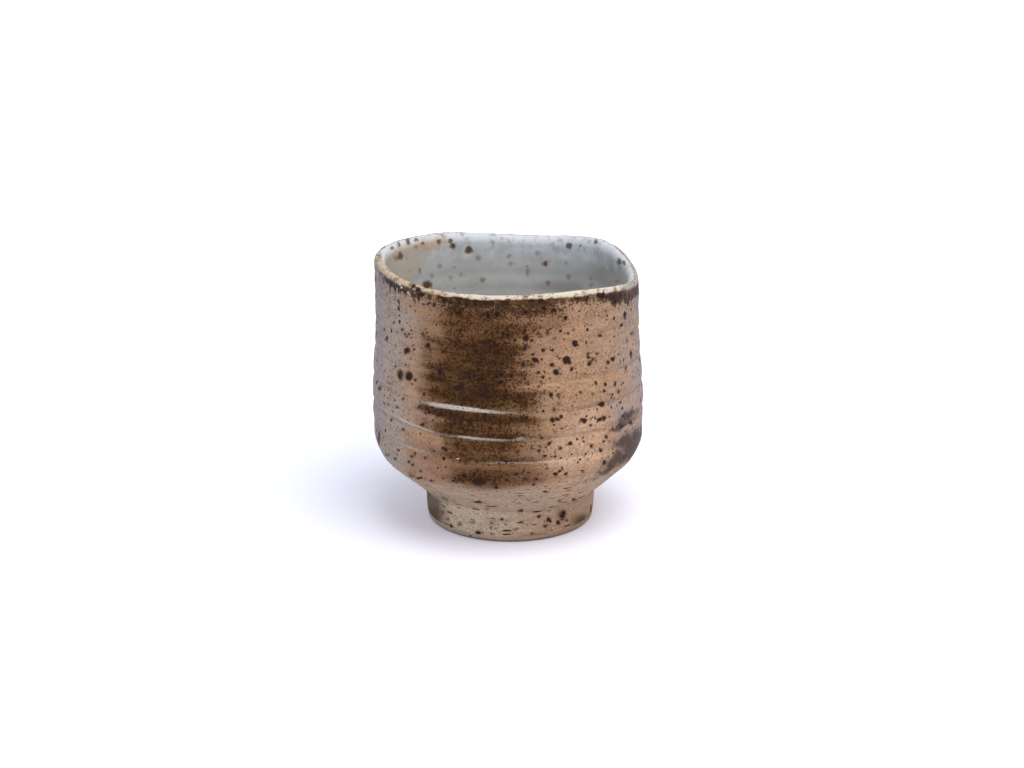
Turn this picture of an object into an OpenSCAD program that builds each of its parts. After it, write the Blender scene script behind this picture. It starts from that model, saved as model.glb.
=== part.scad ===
// Thrown stoneware tea cup: an uneven wall on a turned foot ring, under two glazes.
// Millimetres, +Z up. The ground is z = 0, and the axis of the wall is x = y = 0.

/* [Wall] */
// Height of the lip above the ground, as a mean round the cup
cup_h = 77.2; // [72:0.1:84]
// Diameter of the clay at the widest part of the belly
belly_d = 79.0; // [74:0.1:86]
// Diameter of the clay at the waist, below the lip
waist_d = 76.0; // [72:0.1:84]
// Diameter of the clay at the lip
lip_d = 75.6; // [72:0.1:84]
// Thickness of the clay low in the wall
wall_t = 4.2; // [3:0.1:5.5]
// Thickness of the clay at the lip
lip_t = 2.8; // [2.2:0.1:4]
// Thickness of the clay of the floor, above the foot
floor_t = 3.4; // [2.5:0.1:6]
// Slope of the underside of the belly, in degrees from the vertical
belly_slope = 48; // [42:1:54]
// Radius of the turn from the underside of the belly to the wall
belly_turn_r = 12.0; // [8:0.5:14]
// Radius of the turn from the floor to the slope of the belly, inside
floor_turn_r = 18.0; // [10:0.5:22]

/* [Lip] */
// Width of the outer half of the round of the lip
lip_round_w = 0.8; // [0.6:0.1:1.6]
// Height of the outer half of the round of the lip
lip_round_h = 1.3; // [0.8:0.1:2]
// Height of the inner half of the round of the lip
lip_inner_h = 2.4; // [1:0.1:4]
// How far the lip is out of round as an oval
lip_oval = 0.7; // [0:0.1:2]
// How far the lip is out of round as a soft triangle
lip_trefoil = 0.7; // [0:0.1:2]
// How far the lip is out of round as a soft square
lip_square = 0.4; // [0:0.1:1.5]
// How far the lip rises on one side and falls on the other
lip_tilt = 1.65; // [0:0.05:2]
// How far the lip rises at two places round it
lip_saddle = 0.15; // [0:0.05:1.5]
// How far the lip rises at three places round it
lip_ripple = 0.85; // [0:0.05:1.5]
// How far the lip rises at four places round it
lip_wave = 0.55; // [0:0.05:1.5]
// How far the lip rises at five places round it
lip_flutter = 0.25; // [0:0.05:1]

/* [Throwing grooves] */
// Depth of the deepest groove that the fingers left
groove_depth = 0.55; // [0:0.05:1]
// Half the width of a groove
groove_w = 1.1; // [0.6:0.1:1.6]
// How far the grooves lie above level on the left and below it on the right
groove_tilt = 0.75; // [0:0.05:1.5]

/* [Foot] */
// Diameter of the clay of the foot, above its edge
foot_d = 50.0; // [46:0.1:56]
// Height of the foot, from the ground to the belly
foot_h = 10.5; // [9:0.1:14]
// Radius of the corner where the foot meets the belly
foot_corner_r = 3.0; // [1.5:0.1:4]
// How far the side of the foot draws in towards the ground
foot_draw = 0.3; // [0:0.1:1.5]
// Radius of the turned edge of the foot at the ground
foot_edge_r = 1.2; // [0.5:0.1:1.5]
// Width of the ring that stands on the ground
ring_w = 4.2; // [3:0.1:6]
// Depth of the hollow under the foot
recess_depth = 7.2; // [5:0.1:8]
// Radius of the turn between the side and the roof of the hollow
recess_turn_r = 3.0; // [1:0.1:4]
// How far the foot was turned off the axis of the wall
foot_offset = 0.6; // [0:0.1:1]

/* [Glaze] */
// Thickness of each coat of glaze
glaze_t = 0.3; // [0.2:0.05:0.5]
// Drop from the lip to the line where the liner meets the outer glaze
glaze_line_drop = 2.3; // [2.1:0.1:4]
// Height of the bare clay above the ground
foot_bare_h = 1.6; // [1.6:0.1:3]

/* [Hidden] */

// Flats round the wall, steps in each long or short turn of an outline, and steps from the
// lip down to the belly inside
sides = 48;
turn_steps = 5;
short_turn_steps = 3;
inner_steps = 4;
$fn = 96;

// Directions of the highs of the lip, in degrees from +X
oval_at = -40;
trefoil_at = 57;
square_at = -25;
tilt_at = 134;
saddle_at = -51;
ripple_at = 43;
wave_at = 34;
flutter_at = 36;

// Grooves: height as a share of the way from the lowest groove to the glaze line, and
// depth as a share of the deepest
groove_height_shares = [0, 0.14, 0.306, 0.496, 0.673, 0.839];
groove_depth_shares = [0.55, 1.00, 0.90, 0.50, 0.35, 0.25];
// Depth at the shoulders of a groove, as a share of that groove
groove_shoulder_share = 0.3;
// How far the wall swells between two grooves, as a share of the lower one
swell_share = 0.35;
// Heights where the belly starts to draw in, and of the waist, as shares of the way from
// the widest part of the belly to the lip
belly_top_share = 0.16;
waist_share = 0.73;
// Heights where the wall has left the axis of the foot and starts to leave its level, and
// where its grooves are fully tilted, as shares of the wall
level_share = 0.16;
tilted_share = 0.30;

foot_r = foot_d / 2;
belly_r = belly_d / 2;
waist_r = waist_d / 2;
lip_r = lip_d / 2;
wall_h = cup_h - foot_h;

// Top of the foot, where its corner has turned to the slope of the belly
foot_top_r = foot_r + foot_corner_r * (1 - cos(belly_slope));
// Where the slope of the belly ends, and where the turn above it reaches the upright
slope_top_r = belly_r - belly_turn_r * (1 - cos(belly_slope));
slope_top_z = foot_h + (slope_top_r - foot_top_r) / tan(belly_slope);
belly_z = slope_top_z + belly_turn_r * sin(belly_slope);
belly_top_z = belly_z + belly_top_share * (cup_h - belly_z);
waist_z = belly_z + waist_share * (cup_h - belly_z);
floor_z = foot_h + floor_t;
glaze_line_z = cup_h - glaze_line_drop;
first_groove_z = belly_z + 2 * groove_w;

function clamp01(x) = min(max(x, 0), 1);
function smooth(x) = let(u = clamp01(x)) u * u * (3 - 2 * u);
function height_share(z) = clamp01((z - foot_h) / wall_h);

// Radius of the clay above the belly, without grooves
function wall_r(z) =
    z < waist_z
        ? belly_r + (waist_r - belly_r) * smooth((z - belly_top_z) / (waist_z - belly_top_z))
        : waist_r + (lip_r - waist_r) * smooth((z - waist_z) / (cup_h - waist_z));

// Thickness of the clay between the belly and the lip
function clay_t(z) = wall_t + (lip_t - wall_t) * smooth((z - belly_z) / (cup_h - belly_z));

// An outline is a list of [radius, height, depth of groove] in the order
// underside, wall, lip, inside, floor.
belly_outline = concat(
    [[foot_top_r, foot_h, 0],
     [(foot_top_r + slope_top_r) / 2, (foot_h + slope_top_z) / 2, 0]],
    [for (i = [0 : turn_steps])
        let(a = belly_slope * (1 - i / turn_steps))
        [belly_r - belly_turn_r * (1 - cos(a)), belly_z - belly_turn_r * sin(a), 0]]
);

function groove_z(i) =
    first_groove_z + groove_height_shares[i] * (glaze_line_z - first_groove_z);
function groove_point(z, depth) = [wall_r(z), z, depth];
groove_count = len(groove_height_shares);
groove_outline = [
    for (i = [0 : groove_count - 1])
        let(
            z = groove_z(i),
            next_z = i < groove_count - 1 ? groove_z(i + 1) : glaze_line_z,
            depth = groove_depth * groove_depth_shares[i],
            shoulder = depth * groove_shoulder_share
        )
        each [
            groove_point(z - groove_w, shoulder),
            groove_point(z, depth),
            groove_point(z + groove_w, shoulder),
            groove_point((z + next_z) / 2, -depth * swell_share)
        ]
];

outer_outline = concat(belly_outline, groove_outline, [[wall_r(glaze_line_z), glaze_line_z, 0]]);

lip_crest_r = lip_r - lip_round_w;
lip_inner_w = lip_t - lip_round_w;
lip_outline = concat(
    [for (i = [0 : short_turn_steps])
        let(a = 90 * i / short_turn_steps)
        [lip_crest_r + lip_round_w * cos(a), cup_h - lip_round_h * (1 - sin(a)), 0]],
    [for (i = [1 : short_turn_steps])
        let(a = 90 * i / short_turn_steps)
        [lip_crest_r - lip_inner_w * sin(a), cup_h - lip_inner_h * (1 - cos(a)), 0]]
);

// Inside, the wall comes down to a turn on the same centre as the belly's, a slope level
// with the underside, and a turn on to the floor that its slope has room for.
inner_top_z = cup_h - lip_inner_h;
inner_belly_r = belly_turn_r - wall_t;
slope_end_r = belly_r - belly_turn_r + inner_belly_r * cos(belly_slope);
slope_end_z = belly_z - inner_belly_r * sin(belly_slope);
floor_corner_r = slope_end_r - (slope_end_z - floor_z) * tan(belly_slope);
floor_turn_angle = 90 - belly_slope;
floor_turn_fit_r = min(floor_turn_r, (slope_end_z - floor_z) / (1 - cos(floor_turn_angle)));
floor_flat_r = floor_corner_r - floor_turn_fit_r * tan(floor_turn_angle / 2);
inner_outline = concat(
    [for (i = [1 : inner_steps])
        let(z = inner_top_z + (belly_z - inner_top_z) * i / inner_steps)
        [wall_r(z) - clay_t(z), z, 0]],
    [for (i = [1 : short_turn_steps])
        let(a = belly_slope * i / short_turn_steps)
        [belly_r - belly_turn_r + inner_belly_r * cos(a), belly_z - inner_belly_r * sin(a), 0]],
    [for (i = [0 : short_turn_steps])
        let(a = floor_turn_angle * (1 - i / short_turn_steps))
        [floor_flat_r + floor_turn_fit_r * sin(a),
         floor_z + floor_turn_fit_r * (1 - cos(a)), 0]]
);

clay = concat(outer_outline, lip_outline, inner_outline);
last = len(clay) - 1;
line_at = len(outer_outline) - 1;

// Direction out of the clay at one point of the outline, as [radius, height]
function out_of_clay(k) =
    let(
        before = clay[max(k - 1, 0)],
        after = clay[min(k + 1, last)],
        step = [after[0] - before[0], after[1] - before[1]],
        along = step / norm(step)
    )
    k == 0 ? [1 / cos(belly_slope), 0] : k == last ? [0, 1] : [along[1], -along[0]];

// How far the wall is out of round, and out of level, in direction a
function lobes(a) =
    lip_oval * cos(2 * (a - oval_at)) + lip_trefoil * cos(3 * (a - trefoil_at))
    + lip_square * cos(4 * (a - square_at));
function lip_swing(a) =
    lip_tilt * cos(a - tilt_at) + lip_saddle * cos(2 * (a - saddle_at))
    + lip_ripple * cos(3 * (a - ripple_at)) + lip_wave * cos(4 * (a - wave_at))
    + lip_flutter * cos(5 * (a - flutter_at));
function level_swing(a, share) =
    smooth((share - level_share) / (tilted_share - level_share))
    * (pow(share, 3) * lip_swing(a) - (1 - pow(share, 3)) * groove_tilt * cos(a));

// A point of the clay outline in direction a, raised by a coat of thickness t
function surface_point(k, a, t) =
    let(
        p = clay[k],
        out = out_of_clay(k),
        share = height_share(p[1]),
        r = p[0] - p[2] + t * out[0] + pow(share, 2) * lobes(a),
        drift = foot_offset * (1 - smooth(share / level_share))
    )
    [drift + r * cos(a), r * sin(a), p[1] + t * out[1] + level_swing(a, share)];

function ring(k, t) = [for (j = [0 : sides - 1]) surface_point(k, 360 * j / sides, t)];
function floor_centre(t) = [foot_offset, 0, clay[last][1] + t];

// The two triangles between places j and j + 1 of rings i and n
function quad(i, n, j, outward) =
    let(
        a = i * sides + j,
        b = i * sides + (j + 1) % sides,
        c = n * sides + (j + 1) % sides,
        d = n * sides + j
    )
    outward ? [[a, c, b], [a, d, c]] : [[a, b, c], [a, c, d]];

// A solid between rings that close on a point at each end
module capped_loft(rings, first_point, last_point, outward) {
    count = len(rings);
    start = count * sides;
    points = concat([for (r = rings) each r], [first_point, last_point]);
    strips = [for (i = [0 : count - 2]) for (j = [0 : sides - 1]) each quad(i, i + 1, j, outward)];
    caps = [
        for (j = [0 : sides - 1])
            let(
                k = (j + 1) % sides,
                low = [start, j, k],
                top = [start + 1, (count - 1) * sides + k, (count - 1) * sides + j]
            )
            each (outward
                ? [low, top]
                : [[low[0], low[2], low[1]], [top[0], top[2], top[1]]])
    ];
    polyhedron(points = points, faces = concat(strips, caps));
}

// A solid between rings whose last ring meets the first
module closed_loft(rings, outward) {
    count = len(rings);
    points = [for (r = rings) each r];
    faces = [
        for (i = [0 : count - 1]) for (j = [0 : sides - 1])
            each quad(i, (i + 1) % count, j, outward)
    ];
    polyhedron(points = points, faces = faces);
}

// The thrown clay: floor, belly, grooved wall and lip
module cup_body() {
    color("tan")
        capped_loft(
            [for (k = [0 : last]) ring(k, 0)],
            [foot_offset, 0, foot_h], floor_centre(0), true
        );
}

// The pale coat: floor, inner wall and lip, to the line just under the lip
module liner_glaze() {
    color("whitesmoke")
        capped_loft(
            concat(
                [for (k = [last : -1 : line_at]) ring(k, glaze_t)],
                [for (k = [line_at : last]) ring(k, 0)]
            ),
            floor_centre(glaze_t), floor_centre(0), false
        );
}

// The brown coat: from the line under the lip down to the top of the foot
module outer_glaze() {
    color("peru")
        closed_loft(
            concat(
                [for (k = [0 : line_at]) ring(k, 0)],
                [for (k = [line_at : -1 : 0]) ring(k, glaze_t)]
            ),
            false
        );
}

// Side of the foot from the ground up, as [radius, height]
edge_r = foot_r - foot_draw;
corner_z = foot_h - foot_corner_r * sin(belly_slope);
foot_side = concat(
    [for (i = [0 : short_turn_steps])
        let(a = 90 * i / short_turn_steps)
        [edge_r - foot_edge_r * (1 - sin(a)), foot_edge_r * (1 - cos(a))]],
    [for (i = [0 : turn_steps])
        let(a = belly_slope * i / turn_steps)
        [foot_r + foot_corner_r * (1 - cos(a)), corner_z + foot_corner_r * sin(a)]]
);
recess_r = edge_r - foot_edge_r - ring_w;
recess_side = [
    for (i = [0 : turn_steps])
        let(a = 90 * i / turn_steps)
        [recess_r - recess_turn_r * (1 - cos(a)), recess_depth - recess_turn_r * (1 - sin(a))]
];

// The turned foot: a ring that stands on the ground, with a hollow under its roof
module foot_ring() {
    color("rosybrown")
        translate([foot_offset, 0, 0])
            rotate_extrude()
                polygon(concat(
                    foot_side,
                    [[0, foot_h], [0, recess_depth]],
                    [for (i = [turn_steps : -1 : 0]) recess_side[i]],
                    [[recess_r, 0]]
                ));
}

// Radius of the side of the foot at height z, on the straight part above its edge
function foot_side_r(z) =
    edge_r + (foot_r - edge_r) * (z - foot_edge_r) / (corner_z - foot_edge_r);

// The coat on the side of the foot, from the bare clay to the belly
module foot_glaze() {
    clay_side = concat(
        [[foot_side_r(foot_bare_h), foot_bare_h]],
        [for (i = [short_turn_steps + 1 : len(foot_side) - 1]) foot_side[i]]
    );
    coat_side = concat(
        [[foot_side_r(foot_bare_h) + glaze_t, foot_bare_h]],
        [for (i = [0 : turn_steps])
            let(a = belly_slope * i / turn_steps)
            i < turn_steps
                ? [foot_side[short_turn_steps + 1 + i][0] + glaze_t * cos(a),
                   foot_side[short_turn_steps + 1 + i][1] - glaze_t * sin(a)]
                : [foot_top_r + glaze_t / cos(belly_slope), foot_h]]
    );
    color("burlywood")
        translate([foot_offset, 0, 0])
            rotate_extrude()
                polygon(concat(coat_side, [for (i = [len(clay_side) - 1 : -1 : 0]) clay_side[i]]));
}

cup_body();
foot_ring();
liner_glaze();
outer_glaze();
foot_glaze();
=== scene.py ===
import bpy
import numpy as np
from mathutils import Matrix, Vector


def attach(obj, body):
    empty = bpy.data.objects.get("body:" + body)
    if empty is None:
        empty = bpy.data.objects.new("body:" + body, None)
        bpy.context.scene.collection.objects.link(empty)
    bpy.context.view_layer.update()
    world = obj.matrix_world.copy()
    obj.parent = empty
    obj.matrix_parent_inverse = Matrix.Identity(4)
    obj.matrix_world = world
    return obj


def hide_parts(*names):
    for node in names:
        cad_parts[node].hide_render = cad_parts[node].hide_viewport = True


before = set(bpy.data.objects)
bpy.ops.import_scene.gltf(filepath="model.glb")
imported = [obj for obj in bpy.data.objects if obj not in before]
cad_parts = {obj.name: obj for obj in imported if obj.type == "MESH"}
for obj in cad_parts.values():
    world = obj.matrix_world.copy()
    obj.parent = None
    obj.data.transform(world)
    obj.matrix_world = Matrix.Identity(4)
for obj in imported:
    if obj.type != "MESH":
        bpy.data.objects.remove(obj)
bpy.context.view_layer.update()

# Looks of a hand-thrown stoneware tea cup under two glazes, with its floor, light and camera.
# Sizes are millimetres until a mesh is made, in metres. A turn is an angle round the cup from
# the front, in degrees, growing to the viewer's right. A run is the way along the surface
# from the crest of the lip, growing down the outside and falling down the inside.

METRE = 0.001
DEGREE = np.pi / 180


# Sizes of the part, as in its source

CUP_H = 77.2
BELLY_R = 39.5
WAIST_R = 38.0
LIP_R = 37.8
WALL_T = 4.2
LIP_T = 2.8
FLOOR_T = 3.4
BELLY_SLOPE = 48 * DEGREE
BELLY_TURN_R = 12.0
FLOOR_TURN_R = 18.0
LIP_ROUND_W = 0.8
LIP_ROUND_H = 1.3
LIP_INNER_H = 2.4
# Waves of the lip round the cup, in its radius and its height
LIP_LOBES = [(2, 0.7, -40), (3, 0.7, 57), (4, 0.4, -25)]
LIP_SWINGS = [(1, 1.65, 134), (2, 0.15, -51), (3, 0.85, 43), (4, 0.55, 34), (5, 0.25, 36)]
GROOVE_DEPTH = 0.55
GROOVE_W = 1.1
NOTCH_W = 0.55
GROOVE_TILT = 0.75
GROOVE_HEIGHT_SHARES = np.array([0, 0.14, 0.306, 0.496, 0.673, 0.839])
GROOVE_DEPTH_SHARES = np.array([0.55, 1.00, 0.90, 0.50, 0.35, 0.25])
SWELL_SHARE = 0.35
BELLY_TOP_SHARE = 0.16
WAIST_SHARE = 0.73
LEVEL_SHARE = 0.16
TILTED_SHARE = 0.30
FOOT_R = 25.0
FOOT_H = 10.5
FOOT_CORNER_R = 3.0
FOOT_DRAW = 0.3
FOOT_EDGE_R = 1.2
RING_W = 4.2
RECESS_DEPTH = 7.2
RECESS_TURN_R = 3.0
RECESS_EDGE_R = 0.6
FOOT_OFFSET = 0.6
GLAZE_LINE_DROP = 2.3
FOOT_BARE_H = 1.6

WALL_H = CUP_H - FOOT_H
FOOT_TOP_R = FOOT_R + FOOT_CORNER_R * (1 - np.cos(BELLY_SLOPE))
SLOPE_TOP_R = BELLY_R - BELLY_TURN_R * (1 - np.cos(BELLY_SLOPE))
SLOPE_TOP_Z = FOOT_H + (SLOPE_TOP_R - FOOT_TOP_R) / np.tan(BELLY_SLOPE)
BELLY_Z = SLOPE_TOP_Z + BELLY_TURN_R * np.sin(BELLY_SLOPE)
BELLY_TOP_Z = BELLY_Z + BELLY_TOP_SHARE * (CUP_H - BELLY_Z)
WAIST_Z = BELLY_Z + WAIST_SHARE * (CUP_H - BELLY_Z)
FLOOR_Z = FOOT_H + FLOOR_T
GLAZE_LINE_Z = CUP_H - GLAZE_LINE_DROP
FIRST_GROOVE_Z = BELLY_Z + 2 * GROOVE_W
GROOVE_Z = FIRST_GROOVE_Z + GROOVE_HEIGHT_SHARES * (GLAZE_LINE_Z - FIRST_GROOVE_Z)

# What shows of a coat of glaze lies this far off the clay, a little within the part's own coat
COAT_T = 0.22
# The hidden side of a coat and the hidden clay lie this far below the face of the clay
HIDDEN_DROP = 0.6
CLAY_INSET = 0.25

# A surface that closes on the axis ends in a ring of this radius
MIDDLE_R = 0.02

# The tone of the foot ends at this height
FOOT_TONE_Z = 11.5

# Columns round the fine and the hidden surfaces
COLUMNS = 560
CLAY_COLUMNS = 280

RELIEF_SEED = 11
TONE_SEED = 5

# Spots strewn between two turns, over what the photograph doesn't show
RANDOM_SPOTS = 150
OUT_OF_VIEW = (72, 288)


# Small helpers

def smooth(x):
    u = np.clip(x, 0, 1)
    return u * u * (3 - 2 * u)


def window(x, low, high, soft):
    """1 between low and high, falling to 0 over soft at each end."""
    return smooth((x - low) / soft + 0.5) * smooth((high - x) / soft + 0.5)


def arc(centre, radius_x, radius_z, start, end, steps):
    """Points [radius, height] of a quarter or part of an ellipse, without its last one."""
    a = np.linspace(start, end, steps + 1)[:-1]
    return np.c_[centre[0] + radius_x * np.cos(a), centre[1] + radius_z * np.sin(a)]


def line(start, end, steps):
    """Points of a straight stretch, without its last one."""
    share = np.linspace(0, 1, steps + 1)[:-1, None]
    return np.array(start) * (1 - share) + np.array(end) * share


# Outlines, each a list of points [radius, height]

def wall_r(z):
    low = BELLY_R + (WAIST_R - BELLY_R) * smooth((z - BELLY_TOP_Z) / (WAIST_Z - BELLY_TOP_Z))
    high = WAIST_R + (LIP_R - WAIST_R) * smooth((z - WAIST_Z) / (CUP_H - WAIST_Z))
    return np.where(z < WAIST_Z, low, high)


def clay_t(z):
    return WALL_T + (LIP_T - WALL_T) * smooth((z - BELLY_Z) / (CUP_H - BELLY_Z))


def foot_side():
    """From the ground up to the belly. The straight part starts at the edge's radius."""
    edge_r = FOOT_R - FOOT_DRAW
    corner_z = FOOT_H - FOOT_CORNER_R * np.sin(BELLY_SLOPE)
    corner_x = FOOT_R + FOOT_CORNER_R
    return np.concatenate([
        arc((edge_r - FOOT_EDGE_R, FOOT_EDGE_R), FOOT_EDGE_R, FOOT_EDGE_R, -np.pi / 2, 0, 8),
        line((edge_r, FOOT_EDGE_R), (FOOT_R, corner_z), 18),
        arc((corner_x, corner_z), FOOT_CORNER_R, FOOT_CORNER_R, np.pi, np.pi - BELLY_SLOPE, 8),
    ])


def outer_wall():
    """From the top of the foot up to the glaze line."""
    belly = (BELLY_R - BELLY_TURN_R, BELLY_Z)
    z = np.linspace(BELLY_Z, GLAZE_LINE_Z, 101)[:-1]
    return np.concatenate([
        line((FOOT_TOP_R, FOOT_H), (SLOPE_TOP_R, SLOPE_TOP_Z), 26),
        arc(belly, BELLY_TURN_R, BELLY_TURN_R, -BELLY_SLOPE, 0, 22),
        np.c_[wall_r(z), z],
    ])


def lip_and_inside():
    """From the glaze line over the lip, down the inner wall and across the floor."""
    lip_base_z = CUP_H - LIP_ROUND_H
    inner_top_z = CUP_H - LIP_INNER_H
    crest_r = LIP_R - LIP_ROUND_W
    z_out = np.linspace(GLAZE_LINE_Z, lip_base_z, 4)[:-1]
    z_in = np.linspace(inner_top_z, BELLY_Z, 70)[:-1]
    centre_r = BELLY_R - BELLY_TURN_R
    inner_r = BELLY_TURN_R - WALL_T
    turn = np.pi / 2 - BELLY_SLOPE
    slope_end = (centre_r + inner_r * np.cos(BELLY_SLOPE), BELLY_Z - inner_r * np.sin(BELLY_SLOPE))
    corner_r = slope_end[0] - (slope_end[1] - FLOOR_Z) * np.tan(BELLY_SLOPE)
    flat_r = corner_r - FLOOR_TURN_R * np.tan(turn / 2)
    turn_top = (flat_r + FLOOR_TURN_R * np.sin(turn), FLOOR_Z + FLOOR_TURN_R * (1 - np.cos(turn)))
    return np.concatenate([
        np.c_[wall_r(z_out), z_out],
        arc((crest_r, lip_base_z), LIP_ROUND_W, LIP_ROUND_H, 0, np.pi / 2, 10),
        arc((crest_r, inner_top_z), LIP_T - LIP_ROUND_W, LIP_INNER_H, np.pi / 2, np.pi, 12),
        np.c_[wall_r(z_in) - clay_t(z_in), z_in],
        arc((centre_r, BELLY_Z), inner_r, inner_r, 0, -BELLY_SLOPE, 8),
        line(slope_end, turn_top, 4),
        arc((flat_r, FLOOR_Z + FLOOR_TURN_R), FLOOR_TURN_R, FLOOR_TURN_R,
            turn - np.pi / 2, -np.pi / 2, 12),
        line((flat_r, FLOOR_Z), (MIDDLE_R, FLOOR_Z), 16),
        [(MIDDLE_R, FLOOR_Z)],
    ])


def recess_and_ring():
    """From the middle of the hollow under the foot, down its side and across the ground ring."""
    ring_r = FOOT_R - FOOT_DRAW - FOOT_EDGE_R
    recess_r = ring_r - RING_W
    roof_r = recess_r - RECESS_TURN_R
    return np.concatenate([
        line((MIDDLE_R, RECESS_DEPTH), (roof_r, RECESS_DEPTH), 34),
        arc((roof_r, RECESS_DEPTH - RECESS_TURN_R), RECESS_TURN_R, RECESS_TURN_R, np.pi / 2, 0, 12),
        line((recess_r, RECESS_DEPTH - RECESS_TURN_R), (recess_r, RECESS_EDGE_R), 8),
        arc((recess_r + RECESS_EDGE_R, RECESS_EDGE_R), RECESS_EDGE_R, RECESS_EDGE_R,
            np.pi, 1.5 * np.pi, 5),
        line((recess_r + RECESS_EDGE_R, 0), (ring_r, 0), 8),
    ])


def outward(outline):
    """Direction out of the clay at each point of an outline, as [radius, height]."""
    step = np.gradient(outline, axis=0)
    step /= np.linalg.norm(step, axis=1)[:, None]
    return np.c_[step[:, 1], -step[:, 0]]


def run_along(outline):
    """Way along an outline up to each point of it."""
    return np.r_[0, np.cumsum(np.linalg.norm(np.diff(outline, axis=0), axis=1))]


# Surface

def swings(a, parts):
    """Sum of waves round the cup, each (how many go round, how far, degrees of one crest)."""
    return sum(size * np.cos(count * (a - crest * DEGREE)) for count, size, crest in parts)


def groove_press(z):
    """How far the throwing grooves press the wall in. Between two of them it swells."""
    press = np.zeros_like(z)
    tops = np.r_[GROOVE_Z[1:], GLAZE_LINE_Z]
    for low, top, depth in zip(GROOVE_Z, tops, GROOVE_DEPTH * GROOVE_DEPTH_SHARES):
        share = np.clip((z - low) / (top - low), 0, 1)
        press += depth / (1 + ((z - low) / NOTCH_W) ** 2) ** 1.2
        press -= SWELL_SHARE * depth * np.sin(np.pi * share)
    return press * smooth((z - BELLY_Z + 1) / 2.5) * smooth((GLAZE_LINE_Z - z) / 3)


def place(r, z, level, a):
    """Radius r and height z in direction a on the uneven cup. The level sets how uneven."""
    share = np.clip((level - FOOT_H) / WALL_H, 0, 1)
    up = smooth((share - LEVEL_SHARE) / (TILTED_SHARE - LEVEL_SHARE))
    drift = FOOT_OFFSET * (1 - smooth(share / LEVEL_SHARE))
    r = r + share ** 2 * swings(a, LIP_LOBES)
    swing = share ** 3 * swings(a, LIP_SWINGS)
    lift = up * (swing - (1 - share ** 3) * GROOVE_TILT * np.cos(a))
    return np.stack([drift + r * np.cos(a), r * np.sin(a), z + lift], -1)


def waves(rng, points, count, shortest, longest):
    """Smooth noise of about unit size at points, from plane waves between two lengths."""
    total = np.zeros(points.shape[:-1])
    for _ in range(count):
        way = rng.normal(size=3)
        way *= 2 * np.pi / (np.linalg.norm(way) * rng.uniform(shortest, longest))
        total += np.cos(points @ way + rng.uniform(0, 2 * np.pi))
    return total * np.sqrt(2 / count)


def thrown_lines(rng, a, z, count, shortest, longest):
    """Fine lines round the cup, some of them climbing as a spiral does, of about unit size."""
    total = np.zeros(np.broadcast(a, z).shape)
    for _ in range(count):
        pitch = 2 * np.pi / rng.uniform(shortest, longest)
        total += np.cos(pitch * z + rng.integers(-1, 3) * a + rng.uniform(0, 2 * np.pi)
                        + 0.8 * np.cos(a + rng.uniform(0, 2 * np.pi)))
    return total * np.sqrt(2 / count)


# The whole surface of the clay as one outline, from the middle of the hollow under the foot,
# round the outside and over the lip to the middle of the floor
stretches = [recess_and_ring(), foot_side(), outer_wall(), lip_and_inside()]
outline = np.concatenate(stretches)
outline_out = outward(outline)
GROUND_ROW, FOOT_TOP_ROW, SEAM_ROW = np.cumsum([len(stretch) for stretch in stretches[:3]])
BARE_ROW = GROUND_ROW + int(np.searchsorted(stretches[1][:, 1], FOOT_BARE_H))
LAST_ROW = len(outline) - 1
CREST_ROW = int(np.argmax(outline[:, 1]))
outline_way = run_along(outline)
outline_run = outline_way[CREST_ROW] - outline_way


def relief(a, z, run, points):
    """How far the surface stands proud of its smooth form, the same for every piece."""
    rng = np.random.default_rng(RELIEF_SEED)
    outside = smooth((run - 2) / 3)
    inside = smooth((-run - 3) / 4)
    lip = 1 - smooth((abs(run) - 1.5) / 4)
    wall = smooth((z - SLOPE_TOP_Z) / 6)
    off_ground = smooth((z - 0.4) / 2)
    lines = thrown_lines(rng, a, z, 14, 1.1, 3.2)
    broad_lines = thrown_lines(rng, a, z, 8, 4, 9)
    lumps = waves(rng, points, 30, 7, 18)
    grit = waves(rng, points, 40, 1.2, 2.6)
    dents = waves(rng, points, 24, 4, 8)
    return off_ground * (
        outside * wall * (0.022 * lines + 0.022 * broad_lines)
        + inside * (0.010 * lines + 0.022 * broad_lines)
        + outside * (1 - wall) * 0.02 * lines
        + 0.03 * lumps + 0.008 * grit + lip * 0.045 * dents)


class Ground:
    """Places on some rows of the outline: direction, height, run and point of the bare form."""

    def __init__(self, rows, columns):
        self.rows = rows
        self.a = np.broadcast_to(np.arange(columns) * 2 * np.pi / columns, (len(rows), columns))
        self.r = outline[rows, 0][:, None] + 0 * self.a
        self.z = outline[rows, 1][:, None] + 0 * self.a
        self.run = outline_run[rows][:, None] + 0 * self.a
        self.turn = (self.a / DEGREE + 270) % 360 - 180
        self.points = place(self.r, self.z, self.z, self.a)

    def raised(self, offset):
        """Grid of points raised by an offset off the clay, with the grooves and the relief."""
        out_r, out_z = outline_out[self.rows].T[:, :, None]
        rise = offset + relief(self.a, self.z, self.run, self.points)
        press = np.where(self.run > 0, groove_press(self.z), 0)
        return place(self.r - press + rise * out_r, self.z + rise * out_z, self.z, self.a)


def grid_normals(grid):
    """Normals of a grid whose columns close round the cup, pointing out of the clay."""
    along = np.gradient(grid, axis=0)
    closed = np.concatenate([grid[:, -1:], grid, grid[:, :1]], axis=1)
    around = (closed[:, 2:] - closed[:, :-2]) / 2
    normal = np.cross(around, along)
    return normal / np.maximum(np.linalg.norm(normal, axis=2, keepdims=True), 1e-9)


# The picture

CAMERA_AT = np.array([1.1, -482.1, 188.6])
CAMERA_PITCH = 17.09 * DEGREE
SENSOR_W = 36.0
PICTURE_W = 1024
PICTURE_H = 768
FOCAL_PX = 1707
MM_PER_PX = 0.287


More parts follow.
